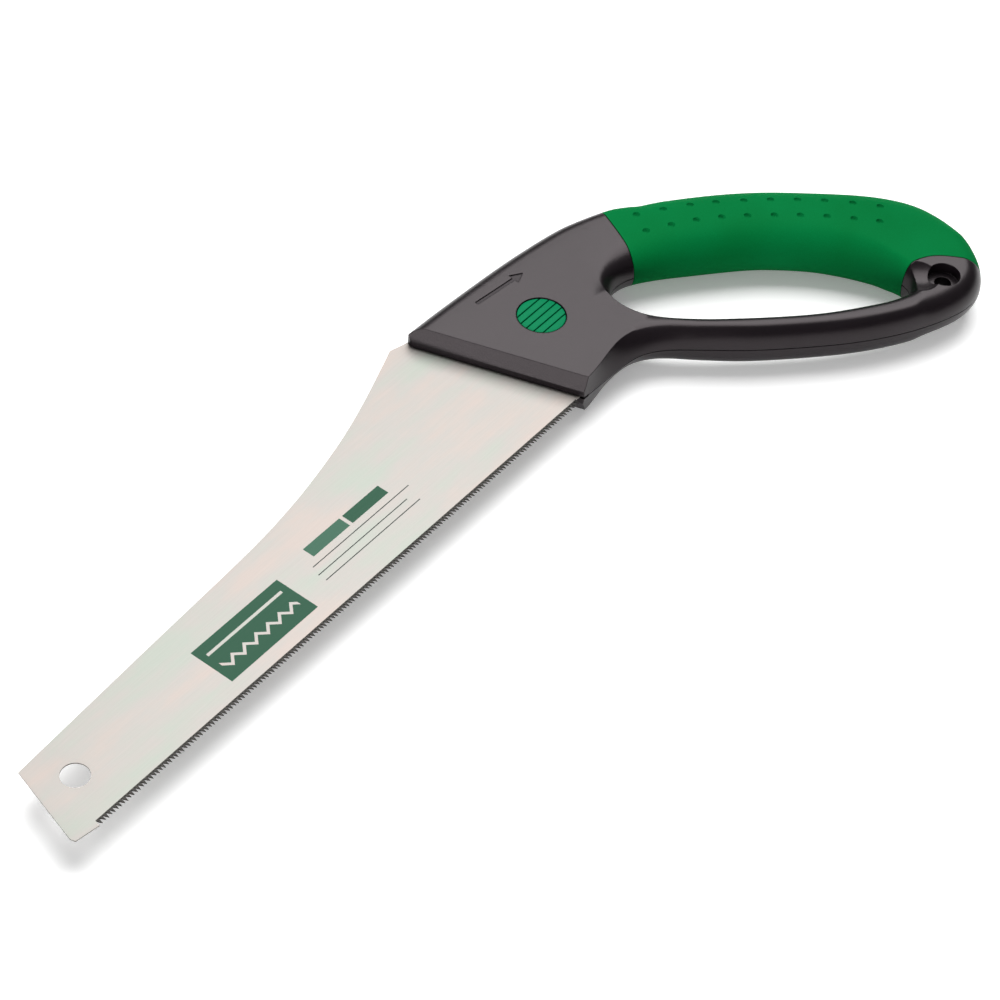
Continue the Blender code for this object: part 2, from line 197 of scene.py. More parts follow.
def prism(outline, low, high, name="cutter"):
    bm = bmesh.new()
    prism_mesh(bm, outline, low, high)
    return make_mesh(name, bm)


def disc(centre, radius, sides=48):
    turns = [math.tau * k / sides for k in range(sides)]
    return [(centre[0] + radius * math.cos(a), centre[1] + radius * math.sin(a)) for a in turns]


def rectangle(x, y):
    return [(x[0], y[0]), (x[1], y[0]), (x[1], y[1]), (x[0], y[1])]


# %% [markdown]
# ## Nodes for finishes
# Every finish is a Principled shader with a few nodes before it. One function adds a node, sets its
# settings and links its inputs, so that a finish reads as a list of what it is made of.

# %% Colours and nodes
def linear(hex_colour):
    """An sRGB hex colour as the linear values that a shader wants."""
    channels = [int(hex_colour[i:i + 2], 16) / 255 for i in (1, 3, 5)]
    return (*[c / 12.92 if c <= 0.04045 else ((c + 0.055) / 1.055) ** 2.4 for c in channels], 1.0)


def add(tree, kind, settings=None, **inputs):
    """Adds a node. An input takes a value, or another node's output."""
    made = tree.nodes.new("ShaderNode" + kind)
    for name, value in (settings or {}).items():
        setattr(made, name, value)
    for name, value in inputs.items():
        key = int(name[1:]) if name[0] == "i" and name[1:].isdigit() else name.replace("_", " ")
        if isinstance(value, bpy.types.NodeSocket):
            tree.links.new(value, made.inputs[key])
        else:
            made.inputs[key].default_value = value
    return made


def new_finish(name, roughness, metallic=0.0, **inputs):
    """A material with its Principled shader's even values set, and its node tree."""
    finish = bpy.data.materials.new(name)
    finish.use_nodes = True
    shader = finish.node_tree.nodes["Principled BSDF"]
    shader.inputs["Roughness"].default_value = roughness
    shader.inputs["Metallic"].default_value = metallic
    for key, value in inputs.items():
        shader.inputs[key.replace("_", " ")].default_value = value
    return finish, finish.node_tree, shader


def drawing_mm(tree):
    """The place on the piece in the drawing's millimetres."""
    place = add(tree, "TexCoord").outputs["Object"]
    start = [-v / MM for v in saw_zero]
    return add(tree, "Mapping", Vector=place, Scale=(1 / MM,) * 3, Location=start).outputs[0]


def ramp(tree, factor, stops):
    """A colour ramp over (place, hex colour) stops."""
    made = add(tree, "ValToRGB", Fac=factor)
    elements = made.color_ramp.elements
    while len(elements) < len(stops):
        elements.new(0.5)
    for element, (place, colour) in zip(elements, stops):
        element.position = place
        element.color = linear(colour)
    return made.outputs[0]


def bump(tree, shader, height, depth_mm, edge_mm=0.0):
    """Fine relief, over edges that are softened to a radius when one is given."""
    made = add(tree, "Bump", Height=height, Distance=depth_mm * MM)
    if edge_mm:
        soft = add(tree, "Bevel", {"samples": 6}, Radius=edge_mm * MM)
        tree.links.new(soft.outputs[0], made.inputs["Normal"])
    tree.links.new(made.outputs[0], shader.inputs["Normal"])


# %% [markdown]
# ### Blade steel
# The blade is high-carbon steel strip, ground, hardened and plated with nickel against rust. The ground
# surface keeps very fine lines along the blade, and the plating is a warm white with faint pink and
# green patches. Real grinding lines are some 0.05 mm apart, too fine to show, so they are drawn at about
# 0.5 mm. The print is one dark green ink: a plain panel with a zigzag, a two-tone bar and thin rules.

# %% Nickel-plated spring steel, ground and printed
BLADE_WARM, BLADE_COOL, BLADE_MID = "#918984", "#878B84", "#8C8985"
INK, INK_PALE, INK_RULE = "#064A30", "#2F5F49", "#26302B"
PANEL_X, PANEL_Y = (72, 116), (6.5, 25)
FIGURE_X, ZIGZAG_Y, STRIPE_Y = (75, 113), (10.6, 12.2), (19.6, 20.8)
BAR_PALE_X, BAR_DARK_X, BAR_Y = (132.5, 152), (153.5, 173), (22.4, 27.4)
RULES = ((19.2, 128.5, 180.5), (15.4, 127, 175), (12.0, 127, 178))
RULE_WIDTH = 0.4


def within(tree, value, low, high):
    """1 where the value lies between two limits."""
    return add(tree, "Math", {"operation": "COMPARE"}, i0=value, i1=(low + high) / 2,
               i2=(high - low) / 2).outputs[0]


def printed(tree, x, y, x_range, y_range):
    """1 inside a rectangle of the drawing."""
    return add(tree, "Math", {"operation": "MULTIPLY"}, i0=within(tree, x, *x_range),
               i1=within(tree, y, *y_range)).outputs[0]


def inked(tree, colour, mask, ink):
    """The colour with ink over it where the mask is 1."""
    mix = add(tree, "Mix", {"data_type": "RGBA"}, i0=mask, i6=colour, i7=linear(ink))
    return mix.outputs[2]


def blade_steel():
    """Plating in patches under fine lines, with the print on the upper side only."""
    finish, tree, shader = new_finish("nickel_plated_spring_steel", 0.5, 1.0, Specular_IOR_Level=0.2)
    place = drawing_mm(tree)
    drawn = add(tree, "Mapping", Vector=place, Scale=(0.5, 1.8, 1.0), Rotation=(0, 0, -0.1)).outputs[0]
    patches = add(tree, "TexNoise", Vector=drawn, Scale=0.03, Detail=4.0, Roughness=0.6).outputs[0]
    plating = ramp(tree, patches, [(0.36, BLADE_COOL), (0.5, BLADE_MID), (0.62, BLADE_WARM)])
    stretched = add(tree, "Mapping", Vector=place, Scale=(0.05, 2.0, 1.0), Rotation=(0, 0, -0.05)).outputs[0]
    lines = add(tree, "TexNoise", Vector=stretched, Scale=1.0, Detail=4.0, Roughness=0.7).outputs[0]
    toned = add(tree, "Mix", {"data_type": "RGBA", "blend_type": "MULTIPLY"}, i0=0.22, i6=plating, i7=lines)
    x, y, z = add(tree, "SeparateXYZ", Vector=place).outputs
    side = add(tree, "Math", {"operation": "GREATER_THAN"}, i0=z, i1=0.2).outputs[0]
    colour = toned.outputs[2]
    panel = printed(tree, x, y, PANEL_X, PANEL_Y)
    wave = add(tree, "Math", {"operation": "PINGPONG"}, i0=x, i1=3.0).outputs[0]
    tall = add(tree, "Math", {"operation": "SUBTRACT"}, i0=y, i1=wave).outputs[0]
    zigzag = add(tree, "Math", {"operation": "MULTIPLY"}, i0=within(tree, tall, *ZIGZAG_Y),
                 i1=within(tree, x, *FIGURE_X)).outputs[0]
    stripe = printed(tree, x, y, FIGURE_X, STRIPE_Y)
    bare = add(tree, "Math", {"operation": "MAXIMUM"}, i0=zigzag, i1=stripe).outputs[0]
    panel = add(tree, "Math", {"operation": "SUBTRACT", "use_clamp": True}, i0=panel, i1=bare).outputs[0]
    masks = [
        (panel, INK),
        (printed(tree, x, y, BAR_PALE_X, BAR_Y), INK_PALE),
        (printed(tree, x, y, BAR_DARK_X, BAR_Y), INK),
    ]
    for low, first, last in RULES:
        masks.append((printed(tree, x, y, (first, last), (low, low + RULE_WIDTH)), INK_RULE))
    covered = None
    for mask, ink in masks:
        upper = add(tree, "Math", {"operation": "MULTIPLY"}, i0=mask, i1=side).outputs[0]
        colour = inked(tree, colour, upper, ink)
        if covered is None:
            covered = upper
        else:
            covered = add(tree, "Math", {"operation": "MAXIMUM"}, i0=covered, i1=upper).outputs[0]
    tree.links.new(colour, shader.inputs["Base Color"])
    metal = add(tree, "MapRange", Value=covered, To_Min=1.0, To_Max=0.0).outputs[0]
    tree.links.new(metal, shader.inputs["Metallic"])
    gloss = add(tree, "MapRange", Value=lines, To_Min=0.44, To_Max=0.54).outputs[0]
    tree.links.new(gloss, shader.inputs["Roughness"])
    bump(tree, shader, lines, 0.01)
    return finish


STEEL = blade_steel()
print("finish:", STEEL.name)

# %% [markdown]
# ### Moulded black ABS
# The shells are injection-moulded ABS. The mould was spark-eroded, which leaves a very fine leather-like
# grain and makes the plastic satin: dark, with a broad grey sheen where it faces the light. The grain is
# about 0.15 mm on the real part and is drawn at about 0.4 mm so that it shows. The strip along the nose
# was eroded more deeply, so it is darker and coarser.

# %% Black ABS, fine and coarse
def black_abs(name, low, high, grain_mm, depth_mm, roughness):
    finish, tree, shader = new_finish(name, roughness, IOR=1.54, Specular_IOR_Level=0.26,
                                      Specular_Tint=(1.0, 0.89, 0.92, 1.0))
    place = drawing_mm(tree)
    grain = add(tree, "TexNoise", Vector=place, Scale=1 / grain_mm, Detail=3.0, Roughness=0.6).outputs[0]
    flow = add(tree, "TexNoise", Vector=place, Scale=0.04, Detail=2.0).outputs[0]
    tone = add(tree, "Mix", {"data_type": "FLOAT"}, i0=0.45, i2=grain, i3=flow).outputs[0]
    tree.links.new(ramp(tree, tone, [(0.35, low), (0.65, high)]), shader.inputs["Base Color"])
    gloss = add(tree, "MapRange", Value=grain, To_Min=roughness - 0.06, To_Max=roughness + 0.06)
    tree.links.new(gloss.outputs[0], shader.inputs["Roughness"])
    bump(tree, shader, grain, depth_mm, 0.5)
    return finish


ABS = black_abs("moulded_black_abs", "#0B070A", "#130E12", 0.4, 0.02, 0.33)
ABS_COARSE = black_abs("eroded_black_abs", "#0B080B", "#191519", 0.7, 0.09, 0.45)

# %% [markdown]
# ### Green rubber and green nylon
# The sleeve is a thermoplastic rubber moulded over the core of the grip. It is matte and soft, with hardly
# any shine. The button is glass-filled nylon: harder, brighter and a little glossier.

# %% Thermoplastic rubber
def green_rubber():
    finish, tree, shader = new_finish("green_thermoplastic_rubber", 0.7, IOR=1.5, Specular_IOR_Level=0.02)
    place = drawing_mm(tree)
    fine = add(tree, "TexNoise", Vector=place, Scale=2.2, Detail=3.0, Roughness=0.6).outputs[0]
    broad = add(tree, "TexNoise", Vector=place, Scale=0.03, Detail=2.0).outputs[0]
    tone = add(tree, "Mix", {"data_type": "FLOAT"}, i0=0.6, i2=fine, i3=broad).outputs[0]
    tree.links.new(ramp(tree, tone, [(0.35, "#01642F"), (0.65, "#026E38")]), shader.inputs["Base Color"])
    bump(tree, shader, fine, 0.02)
    return finish


# %% Nylon of the button
def green_nylon():
    finish, tree, shader = new_finish("green_nylon", 0.45, IOR=1.53, Specular_IOR_Level=0.03)
    place = drawing_mm(tree)
    fine = add(tree, "TexNoise", Vector=place, Scale=2.5, Detail=3.0, Roughness=0.6).outputs[0]
    tree.links.new(ramp(tree, fine, [(0.35, "#007248"), (0.65, "#017C50")]), shader.inputs["Base Color"])
    bump(tree, shader, fine, 0.015, 0.3)
    return finish


RUBBER = green_rubber()
NYLON = green_nylon()


# %% Zinc-plated screws, the spring leaf, and tooth flanks whose dark colour is painted shade
def plain_steel(name, low, high, roughness, grain_mm):
    finish, tree, shader = new_finish(name, roughness, 1.0)
    place = drawing_mm(tree)
    grain = add(tree, "TexNoise", Vector=place, Scale=1 / grain_mm, Detail=4.0, Roughness=0.7).outputs[0]
    tree.links.new(ramp(tree, grain, [(0.3, low), (0.7, high)]), shader.inputs["Base Color"])
    bump(tree, shader, grain, 0.01)
    return finish


ZINC = plain_steel("zinc_plated_steel", "#A9ABB0", "#C9CBCE", 0.3, 0.8)
SPRING = plain_steel("tempered_spring_steel", "#8C8F96", "#A6A8AD", 0.28, 0.5)
# The tooth flanks' dark steel colour is painted shade: the shadow under the teeth and the dark room they
# reflect.
TOOTH_FLANK_SHADE = plain_steel("tooth_flank_steel_painted_shade", "#242322", "#353432", 0.45, 0.4)
for node, obj in frame["nodes"].items():
    if node.startswith("latch_"):
        obj.data.materials.clear()
        obj.data.materials.append(SPRING if node == "latch_spring" else ZINC)
print("finishes:", len(bpy.data.materials))

# %% [markdown]
# ## Blade
# On the real saw the strip is blanked, the teeth are cut with a wheel, every second tooth is pushed to the
# other side, and the flanks are ground to a point. Here the blank is a face raised to its thickness. Its
# lower edge has one short stretch for each tooth: each stretch is pulled out as a small face and
# squeezed to a point that leans to the handle, left and right in turn. The flanks get a finish of their
# own, whose dark colour is painted shade: the shadow under the teeth and the dark room they reflect.

# %% Blank
TOOTH_PITCH = 25.4 / 17
TOOTH_COUNT = 170
TOOTH_LEAN = 0.72
TOOTH_SET = 0.16
POINT_LONG, POINT_THICK = 0.09, 0.35
BLADE_HALF = 0.3
BLADE_CUT = 2
BLADE_TIP = [(-0.45, -1.1), (-10.1, 0.3), (-TIP_AHEAD, 2.2), (-2.0, 33.0)]
BLADE_BACK = [(60, 36.9), (118, 40.4), (143, 43.2), (162, 46.6), (183, 51.6), (201, 57.2), (217, 63.0)]
BLADE_HEEL = [(228.2, 67.2), (238.5, 64.6)]
TANG = [(252, 56.6), (262.8, 53.0), (290.8, 53.0)]
TANG_FOOT = [(290.8, 12.0), (270.8, 12.0), (263.0, 2.8), (258.6, 0.6)]
TIP_HOLE, TIP_HOLE_RADIUS = (9.2, 18.5), 5.1
BUTTON = (273.6, 32.6)
BUTTON_STEM, STEM_ROOM = 2.2, 0.4
WINDOW_X, WINDOW_Y = (262.4, 267.1), (29.3, 35.9)


def blank_outline():
    """Plan of the blade, with the fork of the tang open at its end and one point for each gullet."""
    gullet = TOOTH_DEPTH / 2
    points = [(k * TOOTH_PITCH, gullet) for k in range(TOOTH_COUNT + 1)]
    points += TANG_FOOT[::-1]
    slot = BUTTON_STEM + STEM_ROOM
    fork = [(BUTTON[0] - slot - STEM_ROOM, BUTTON[1] + side * slot) for side in (-1, 1)]
    points += [(TANG[-1][0], BUTTON[1] - slot), *fork, (TANG[-1][0], BUTTON[1] + slot)]
    points += TANG[::-1] + BLADE_HEEL[::-1]
    back = spline([BLADE_TIP[-1]] + BLADE_BACK + [BLADE_HEEL[0]], 3, closed=False)
    return points + [tuple(p) for p in back[-2::-1]] + BLADE_TIP[-2::-1]


# %% Teeth
def pull_teeth(bm):
    """Pulls one small face of the toothed edge out for each tooth and squeezes it to a point."""
    gullet = TOOTH_DEPTH / 2
    flats = [
        f for f in bm.faces
        if len(f.verts) == 4 and all(abs(v.co.y - gullet) < 0.01 for v in f.verts)
        and 0 <= f.calc_center_median().x <= TOOTH_COUNT * TOOTH_PITCH
    ]
    pulled = bmesh.ops.extrude_discrete_faces(bm, faces=flats)["faces"]
    for face in pulled:
        middle = face.calc_center_median()
        number = int(middle.x / TOOTH_PITCH)
        side = 1 if number % 2 else -1
        tip = Vector(((number + TOOTH_LEAN) * TOOTH_PITCH, -gullet, side * TOOTH_SET))
        for vert in face.verts:
            off = vert.co - middle
            vert.co = tip + Vector((off.x * POINT_LONG, 0, off.z * POINT_THICK))
    print("teeth:", len(pulled))


def make_blade():
    """Blank, teeth, tip hole and window. The flanks of the teeth get their own finish, whose dark colour is
    painted shade.
    """
    bm = bmesh.new()
    prism_mesh(bm, blank_outline(), -BLADE_HALF, BLADE_HALF)
    bmesh.ops.recalc_face_normals(bm, faces=bm.faces[:])
    pull_teeth(bm)
    bmesh.ops.triangulate(bm, faces=[f for f in bm.faces if len(f.verts) > 4])
    blade = make_mesh("saw_blade", bm)
    combine(blade, prism(disc(TIP_HOLE, TIP_HOLE_RADIUS, 64), -BLADE_CUT, BLADE_CUT))
    combine(blade, prism(rectangle(WINDOW_X, WINDOW_Y), -BLADE_CUT, BLADE_CUT))
    finish_piece(blade, "blade", "blade", [STEEL, TOOTH_FLANK_SHADE])
    # Faces below the gullet line, the tooth flanks, take the finish with painted shade.
    root = saw_zero.y + (TOOTH_DEPTH / 2 - 0.02) * MM
    for face in blade.data.polygons:
        if 0 < (face.center.x - saw_zero.x) / MM < TOOTH_COUNT * TOOTH_PITCH and face.center.y < root:
            face.material_index = 1


make_blade()

# %% [markdown]
# ## Handle form
# The shells and the sleeve are parts of one outer form, so the form is made first and then divided. Its
# plan is two smooth curves, the outline and the finger hole. From each curve, on the middle plane, the
# wall is built by extruding the curve's edge loop upwards and inwards band by band. How far in and how
# high depends on the limb: the head has straight sloping walls and a flat face, and the limbs are round.
# A single bevel could not change its width on the way round, which is why the loops are extruded instead.

# %% Plan of the handle
OUTLINE = [
    (218, -0.9), (234, -0.9), (246, -0.9), (258, -0.9), (272, -1.3), (283.5, -2.0), (291.0, -4.2),
    (298.0, -9.2), (306.2, -18.2), (321, -34.6), (343, -54.6), (360.5, -67.2), (376.5, -75.4),
    (390.5, -79.8), (401.6, -79.4), (410.3, -74.6), (417.5, -66.0), (421.9, -56.5), (424.1, -46.0),
    (423.4, -36.0), (419.0, -25.8), (410.7, -13.8), (400.8, -1.4), (388.8, 12.5), (376.9, 23.9),
    (364.3, 34.1), (351.6, 43.6), (337.5, 52.3), (324.3, 57.7), (311.5, 60.6), (290, 63.2), (270, 64.6),
    (250, 65.6), (236, 66.0), (222, 66.2), (208, 66.2),
]
HOLE = [
    (302, 12.0), (305, 2.2), (315, -11.6), (329.8, -27.2), (347, -42.8), (364.8, -55.2), (374, -60.0),
    (380, -61.6), (384.8, -58.8), (386.6, -53.0), (386, -46.5), (384, -40.3), (378.8, -29.8),
    (372.6, -20.0), (361.5, -6.8), (349.2, 4.0), (334.8, 15.2), (322.5, 22.8), (314.5, 25.6),
    (307.5, 25.0), (303.3, 20.2),
]
LOOP_START = Vector((303, 14))
LOOP_ALONG = Vector((0.747, -0.665))
LOOP_ACROSS = Vector((0.665, 0.747))
LOOP_LENGTH = 112
HEAD_HALF, BAR_HALF, GRIP_HALF = 8.5, 9.3, 12.0
HEAD_EDGE, GRIP_EDGE, BAR_EDGE, TAIL_EDGE = 3.6, 14.0, 5.2, 8.0
CORNER_EDGE, WALL_EDGE, SPINE_EDGE = 0.8, 5.6, 7.0
TAIL_DROP = 0.45
ROUNDNESS = 2.1
LEAST_EDGE = 0.6
BANDS = 14


def limb_place(point):
    """Distance along the D from its front, and across it from the hole's long axis."""
    offset = point - LOOP_START
    return offset.dot(LOOP_ALONG), offset.dot(LOOP_ACROSS)


def half_thickness(point):
    """Half the handle's thickness: thin at the head, thickest at the grip, less again at the tail."""
    along, across = limb_place(point)
    grip = smooth(across, -2, 30) * smooth(along, -14, 34)
    grip *= 1 - TAIL_DROP * smooth(along, LOOP_LENGTH - 14, LOOP_LENGTH + 14)
    lower = smooth(along, 4, 40) * (1 - smooth(across, -2, 30))
    return HEAD_HALF + (GRIP_HALF - HEAD_HALF) * grip + (BAR_HALF - HEAD_HALF) * lower


def edge_width(point, is_hole):
    """How far the rounding reaches in from the outline."""
    along, across = limb_place(point)
    if is_hole:
        width = HEAD_EDGE + (GRIP_EDGE - HEAD_EDGE) * smooth(across, 4, 26)
        return max(width, HEAD_EDGE + (BAR_EDGE - HEAD_EDGE) * smooth(along, 0, 30))
    wall = CORNER_EDGE + (WALL_EDGE - CORNER_EDGE) * smooth(point.x, 256, 288)
    wall += (BAR_EDGE - wall) * smooth(along, 0, 40)
    spine = SPINE_EDGE * smooth(point.y, 30, 50)
    grip = GRIP_EDGE * smooth(across, 0, 40) * smooth(along, -24, 30)
    tail = TAIL_EDGE * smooth(along, LOOP_LENGTH - 16, LOOP_LENGTH + 4)
    return max(wall, spine, grip, tail)


def edge_profile(point, share, is_hole):
    """Inset and height, as shares, at a share of the way up the edge.

    The near wall slopes, and the rest is round.
    """
    along, across = limb_place(point)
    angle = share * math.pi / 2
    round_inset = 1 - math.cos(angle) ** (2 / ROUNDNESS)
    round_height = math.sin(angle) ** (2 / ROUNDNESS)
    limb = max(smooth(along, -22, 26), smooth(across, 0, 12) if is_hole else smooth(point.y, 30, 50))
    return share + (round_inset - share) * limb, share + (round_height - share) * limb


# %% Walls and caps
def wall_ring(outline, inwards, share, side, inset, is_hole):
    """One level of the wall: the outline moved in and up."""
    ring = []
    for point, inward in zip(outline, inwards):
        run, rise = edge_profile(point, share, is_hole)
        width = max(edge_width(point, is_hole) - inset, LEAST_EDGE)
        place = point + inward * (inset + width * run)
        ring.append(Vector((place.x, place.y, side * rise * (half_thickness(place) - inset))))
    return ring


def extrude_wall(bm, outline, side, inset, is_hole):
    """Extrudes the outline's loop band by band. Returns the points of the last ring."""
    count = len(outline)
    turn = -1 if is_hole else 1
    inwards = []
    for i in range(count):
        along = outline[(i + 1) % count] - outline[i - 1]
        inwards.append(Vector((-along.y, along.x)).normalized() * turn)
    start = wall_ring(outline, inwards, 0, side, inset, is_hole)
    verts = loop_of(bm, [p.xy for p in start])
    edges = list({e for v in verts for e in v.link_edges})
    order = {v: i for i, v in enumerate(verts)}
    for k in range(1, BANDS + 1):
        ring = wall_ring(outline, inwards, k / BANDS, side, inset, is_hole)
        made = bmesh.ops.extrude_edge_only(bm, edges=edges)["geom"]
        raised = {}
        for vert in (v for v in made if isinstance(v, bmesh.types.BMVert)):
            below = next(e.other_vert(vert) for e in vert.link_edges if e.other_vert(vert) in order)
            raised[vert] = order[below]
        edges = [e for e in made if isinstance(e, bmesh.types.BMEdge) and e.is_boundary]
        for vert, number in raised.items():
            vert.co = ring[number]
        order = raised
    return ring


def cap(rings, side, inset):
    """The upper face between the last rings, divided until it can follow the thickness."""
    bm = bmesh.new()
    for ring in rings:
        for vert, place in zip(loop_of(bm, [p.xy for p in ring]), ring):
            vert.co = place
    bmesh.ops.triangle_fill(bm, edges=bm.edges[:], use_beauty=True)
    for longest in (16, 9, 6):
        long_edges = [e for e in bm.edges if not e.is_boundary and e.calc_length() > longest]
        bmesh.ops.subdivide_edges(bm, edges=long_edges, cuts=1)
        bmesh.ops.triangulate(bm, faces=bm.faces[:])
        bmesh.ops.beautify_fill(bm, faces=bm.faces[:], edges=[e for e in bm.edges if not e.is_boundary])
    for vert in bm.verts:
        if not vert.is_boundary:
            vert.co.z = side * (half_thickness(vert.co.xy) - inset)
    mesh = bpy.data.meshes.new("cap")
    bm.to_mesh(mesh)
    bm.free()
    return mesh


# %% Nose of the head
NOSE_LOW, NOSE_HIGH = Vector((256.8, -0.8, 0)), Vector((233.9, 66.4, 0))
NOSE_LIP, NOSE_BEVEL = 3.0, 2.8
NOSE_CORNER, NOSE_CORNER_CENTRE = 3.0, Vector((238.2, 63.0, 0))
NOSE_CORNER_TURNS = (180.7, 162.5, 144.4, 126.3, 108.2)  # degrees, from the nose round to the back
nose_line = (NOSE_HIGH - NOSE_LOW).normalized()
nose_inward = Vector((nose_line.y, -nose_line.x, 0))


def cut_nose(bm, inset):
    """Ends the head on the nose line.

    The nose has an upright lip, a bevel above and below it, and a round back corner.
    """
    start = NOSE_LOW + nose_inward * inset
    rise = HEAD_HALF - NOSE_LIP
    planes = [(start, -nose_inward)]
    for side in (1, -1):
        point = start + Vector((0, 0, side * NOSE_LIP))
        planes.append((point, Vector((-nose_inward.x * rise, -nose_inward.y * rise, side * NOSE_BEVEL))))
    for turn in NOSE_CORNER_TURNS:
        normal = Vector((math.cos(math.radians(turn)), math.sin(math.radians(turn)), 0))
        planes.append((NOSE_CORNER_CENTRE + normal * (NOSE_CORNER - inset), normal))
    for point, normal in planes:
        geometry = bm.verts[:] + bm.edges[:] + bm.faces[:]
        cut = bmesh.ops.bisect_plane(bm, geom=geometry, plane_co=point, plane_no=normal, clear_outer=True)
        edges = [e for e in cut["geom_cut"] if isinstance(e, bmesh.types.BMEdge)]
        bmesh.ops.contextual_create(bm, geom=edges)


def handle_form(inset, step):
    """The whole handle as one solid, every surface moved in by inset."""
    bm = bmesh.new()
    plans = [(spline(OUTLINE, step), False), (spline(HOLE, step), True)]
    for side in (1, -1):
        rings = [extrude_wall(bm, plan, side, inset, is_hole) for plan, is_hole in plans]
        bm.from_mesh(cap(rings, side, inset))
    bmesh.ops.remove_doubles(bm, verts=bm.verts[:], dist=0.002)
    cut_nose(bm, inset)
    return make_mesh("form", bm)


# %% [markdown]
# ## Rubber sleeve
# The sleeve is moulded round the core of the upper limb, so it is the outer form between two seams, less
# the same form moved in by the rubber's thickness. Two rows of small dimples keep the palm from slipping:
# balls set along two curves are taken out of it on both sides.

# %% Sleeve between its seams
FINE_STEP = 1.6
CORE_STEP = 4.0
SLEEVE = 2.5
CORE_GAP = 0.6
GAP = 0.3
PAST = 20
FRONT_SEAM = [(312, 6.0), (319.0, 20.5), (329.5, 40.0), (338.5, 59.5), (346, 76)]
TAIL_SEAM = [
    (425, -90), (411.5, -80), (407.8, -73.0), (405.0, -66.8), (399.8, -59.8), (394.0, -56.0), (387.4, -54.3),
    (382.0, -55.6), (379.0, -58.5),
]
SLEEVE_HOLE_SIDE = [(374, -54), (352, -22), (328, -4)]


def grip_zone(gap):
    """Prism that holds the sleeve, its two seams moved out by a gap. The tail's runs at 45 degrees."""
    front = [(x - gap, y) for x, y in spline(FRONT_SEAM, 2, closed=False)]
    tail = [(x - gap * 0.7, y - gap * 0.7) for x, y in spline(TAIL_SEAM, 1.5, closed=False)]
    return prism(front + [(440, 76), (440, -90)] + tail + SLEEVE_HOLE_SIDE, -PAST, PAST)


sleeve = combine(handle_form(0, FINE_STEP), grip_zone(0), "INTERSECT")
combine(sleeve, handle_form(SLEEVE, CORE_STEP))
print("sleeve:", len(sleeve.data.polygons), "faces")

# %% Dimples
DIMPLE_RADIUS = 1.6
DIMPLE_LIFT = 0.6
DIMPLES = 10
DIMPLE_ROWS = [
    [(340.1, 38.4), (365.3, 19.2), (390.5, -6.5), (406.5, -29.3)],
    [(335.1, 30.1), (360.0, 12.0), (383.0, -12.0), (398.9, -34.1)],
]


def surface_z(obj, place, side):
    """Height of the piece's surface over or under a point of the plan."""
    hit, where, _, _ = obj.ray_cast((*place, side * 30), (0, 0, -side))
    return where.z if hit else None


def spread(points, count):
    """Points an even distance apart along the smooth curve through the given ones."""
    fine = spline(points, 0.5, closed=False)
    reach = [0.0]
    for a, b in zip(fine, fine[1:]):
        reach.append(reach[-1] + (b - a).length)
    wanted = [k * reach[-1] / (count - 1) for k in range(count)]
    return [min(zip(reach, fine), key=lambda pair: abs(pair[0] - length))[1] for length in wanted]


def dimple_balls(bm, body):
    """Balls whose lower part dips into the surface, along both rows and on both sides."""
    for row in DIMPLE_ROWS:
        for place in spread(row, DIMPLES):
            for side in (1, -1):
                z = surface_z(body, place, side) + side * DIMPLE_LIFT
                bmesh.ops.create_icosphere(bm, subdivisions=3, radius=DIMPLE_RADIUS,
                                           matrix=Matrix.Translation((*place, z)))


balls = bmesh.new()
dimple_balls(balls, sleeve)
combine(sleeve, make_mesh("balls", balls))
sleeve.name = "rubber_sleeve"
finish_piece(sleeve, "handle", "grip_sleeve", [RUBBER], 40)

# %% [markdown]
# ## Half shells
# Both shells come from one form: the handle with its grip limb reduced to the core under the rubber. The
# room for the tang, the button, the latch and the screws is cut next, and the form is then parted on the
# middle plane, as the two halves of the mould part it.

# %% Turned cutters and screws
def turned(bm, profile, centre, sides=40):
    """Spins a profile of (radius, height) points about an upright axis."""
    verts = [bm.verts.new((centre[0] + r, centre[1], z)) for r, z in profile]
    edges = [bm.edges.new(pair) for pair in zip(verts, verts[1:])]
    bmesh.ops.spin(bm, geom=verts + edges, axis=(0, 0, 1), cent=(*centre, 0), angle=math.tau, steps=sides,
                   use_merge=True)


def turned_solid(profiles, name="cutter", sides=40):
    """One object from several turned shapes that don't touch. profiles are (centre, profile) pairs."""
    bm = bmesh.new()
    for centre, profile in profiles:
        turned(bm, profile, centre, sides)
    return make_mesh(name, bm)


def bore(radius, low, high):
    """Profile of a plain round hole."""
    return [(0, low), (radius, low), (radius, high), (0, high)]


# %% Whole handle without its rubber
HANG_HOLE, HANG_RADIUS, HANG_REBATE, HANG_FLOOR = (393.0, -67.8), 3.2, 6.1, 5.0
SHELL_SCREWS = [(284.0, 7.2), (268.0, 57.0), (306.5, 44.5), (381.5, -70.0)]
SHANK_RADIUS, HEAD_RADIUS, HEAD_DEEP = 1.3, 2.9, 4.5
LATCH_SCREWS, LATCH_SHANK = [(288.0, 32.6), (294.5, 32.6)], 1.2
LEAF_FRONT, LEAF_REAR, LEAF_LOW = 261.5, 298.0, -2.7
BUTTON_HOLE, BUTTON_RADIUS, BUTTON_FLANGE, BUTTON_TOP = 9.4, 9.1, 10.8, 8.3
FLANGE_LOW, FLANGE_HIGH = 4.8, 5.8
LEAF_HIGH = -1.9

shells = combine(handle_form(0, FINE_STEP), grip_zone(GAP))
combine(shells, handle_form(SLEEVE + CORE_GAP, CORE_STEP), "UNION")
print("shells:", len(shells.data.polygons), "faces")

# %% Thumb dish and hanging hole
DISH = (385.6, -61.2)
DISH_RADIUS, DISH_DEPTH = 13.0, 1.2


def dishes(shells):
    """A shallow ball on each side between the seam and the hanging hole."""
    bm = bmesh.new()
    for side in (1, -1):
        z = surface_z(shells, DISH, side) + side * (DISH_RADIUS - DISH_DEPTH)
        place = Matrix.Translation((*DISH, z))
        bmesh.ops.create_icosphere(bm, subdivisions=4, radius=DISH_RADIUS, matrix=place)
    return make_mesh("dishes", bm)


